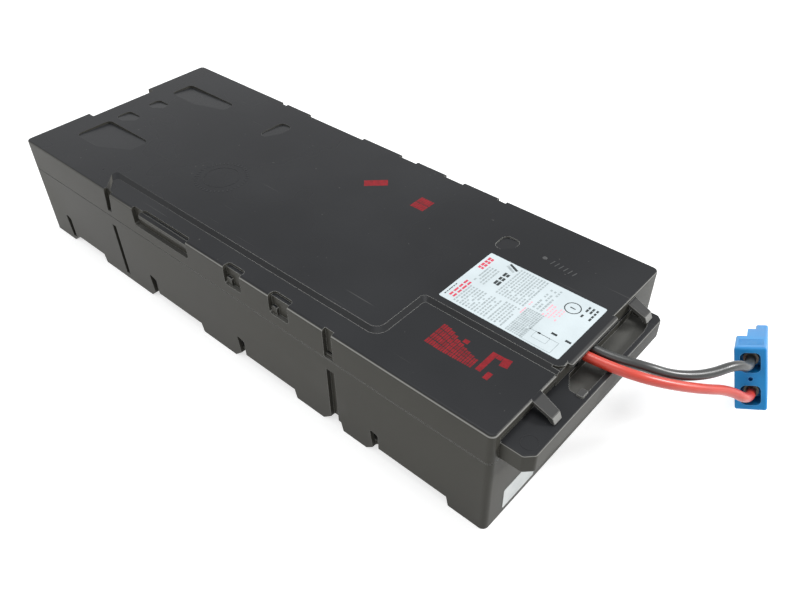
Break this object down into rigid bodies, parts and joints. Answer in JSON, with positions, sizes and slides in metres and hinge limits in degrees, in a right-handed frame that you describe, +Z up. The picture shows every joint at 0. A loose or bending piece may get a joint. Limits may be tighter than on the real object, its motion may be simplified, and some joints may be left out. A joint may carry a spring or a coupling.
{
  "type": "ups battery cartridge",
  "caption": "Flat black tray and clipped cover that hold sealed battery blocks, with a pull ledge, latch straps and red and black leads to a blue connector.",
  "frame": {"origin": "centre of the footprint of the case and its pull ledge, on the surface it stands on", "axes": "+X along the case towards the pull ledge and leads, +Y across it towards the side without the lower ledge, +Z up"},
  "size_m": [0.5174, 0.2144, 0.0802],
  "materials": {
    "case_plastic": "semi-gloss black moulded plastic",
    "block_plastic": "matte dark grey moulded plastic",
    "foam": "dark closed-cell foam",
    "terminal_metal": "tinned brass",
    "boot_plastic": "pale insulating sleeve",
    "black_insulation": "satin black wire insulation",
    "red_insulation": "satin red wire insulation",
    "grommet_rubber": "black rubber",
    "connector_plastic": "blue moulded plastic",
    "contact_metal": "silver-plated copper",
    "spring_steel": "spring steel",
    "label_film": "white printed film",
    "sticker_film": "pale grey film"
  },
  "bodies": {
    "root": {"lower_tray": "case_plastic", "upper_cover": "case_plastic", "battery_block_1": "block_plastic", "battery_block_2": "block_plastic", "battery_block_3": "block_plastic", "battery_block_4": "block_plastic", "foam_pad_1": "foam", "foam_pad_2": "foam", "foam_pad_3": "foam", "foam_pad_4": "foam", "positive_terminals": "terminal_metal", "negative_terminals": "terminal_metal", "terminal_boots": "boot_plastic", "link_wire_1_2": "black_insulation", "link_wire_3_4": "black_insulation", "link_wire_2_3": "black_insulation", "inner_black_lead": "black_insulation", "inner_red_lead": "red_insulation", "cable_grommet": "grommet_rubber", "black_lead": "black_insulation", "red_lead": "red_insulation", "connector_housing": "connector_plastic", "contact_red": "contact_metal", "contact_black": "contact_metal", "contact_springs": "spring_steel", "rating_label": "label_film", "front_sticker": "sticker_film"}
  },
  "joints": []
}
